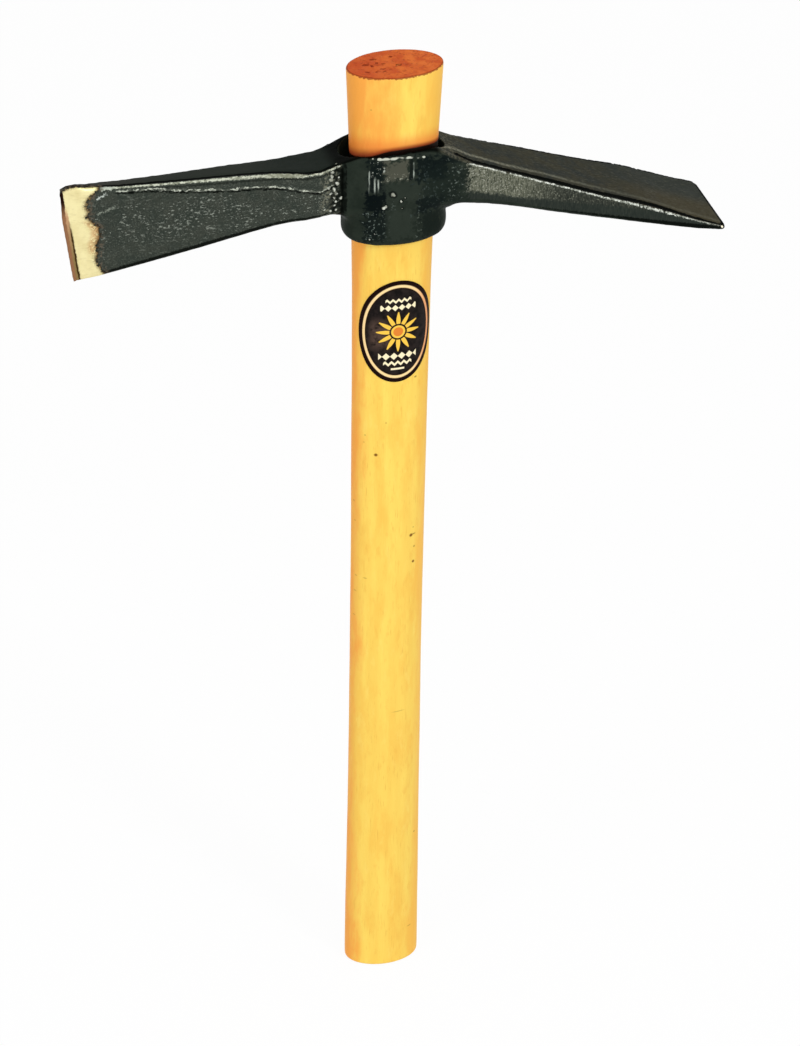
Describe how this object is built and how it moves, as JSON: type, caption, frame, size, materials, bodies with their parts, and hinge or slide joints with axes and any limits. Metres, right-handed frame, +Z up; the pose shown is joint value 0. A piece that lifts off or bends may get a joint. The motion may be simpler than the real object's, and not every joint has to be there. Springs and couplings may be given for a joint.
{
  "type": "masons hammer",
  "caption": "Mason's hammer: a forged steel head with an upright axe blade at one end and a level adze blade at the other, on an oval wooden handle that swells at its top.",
  "frame": {"origin": "centre of the flat face at the handle's foot", "axes": "+Z up the handle towards the head, +X towards the adze blade, -X towards the axe blade, -Y towards the label"},
  "size_m": [0.2504, 0.0372, 0.4],
  "materials": {
    "wood": "varnished yellow, end grain stained red-brown",
    "black_paint": "semi-gloss black paint over forged steel, bare along the axe's edge",
    "label_paper": "smooth printed sticker"
  },
  "bodies": {
    "root": {"handle": "wood", "head": "black_paint", "label": "label_paper"}
  },
  "joints": []
}
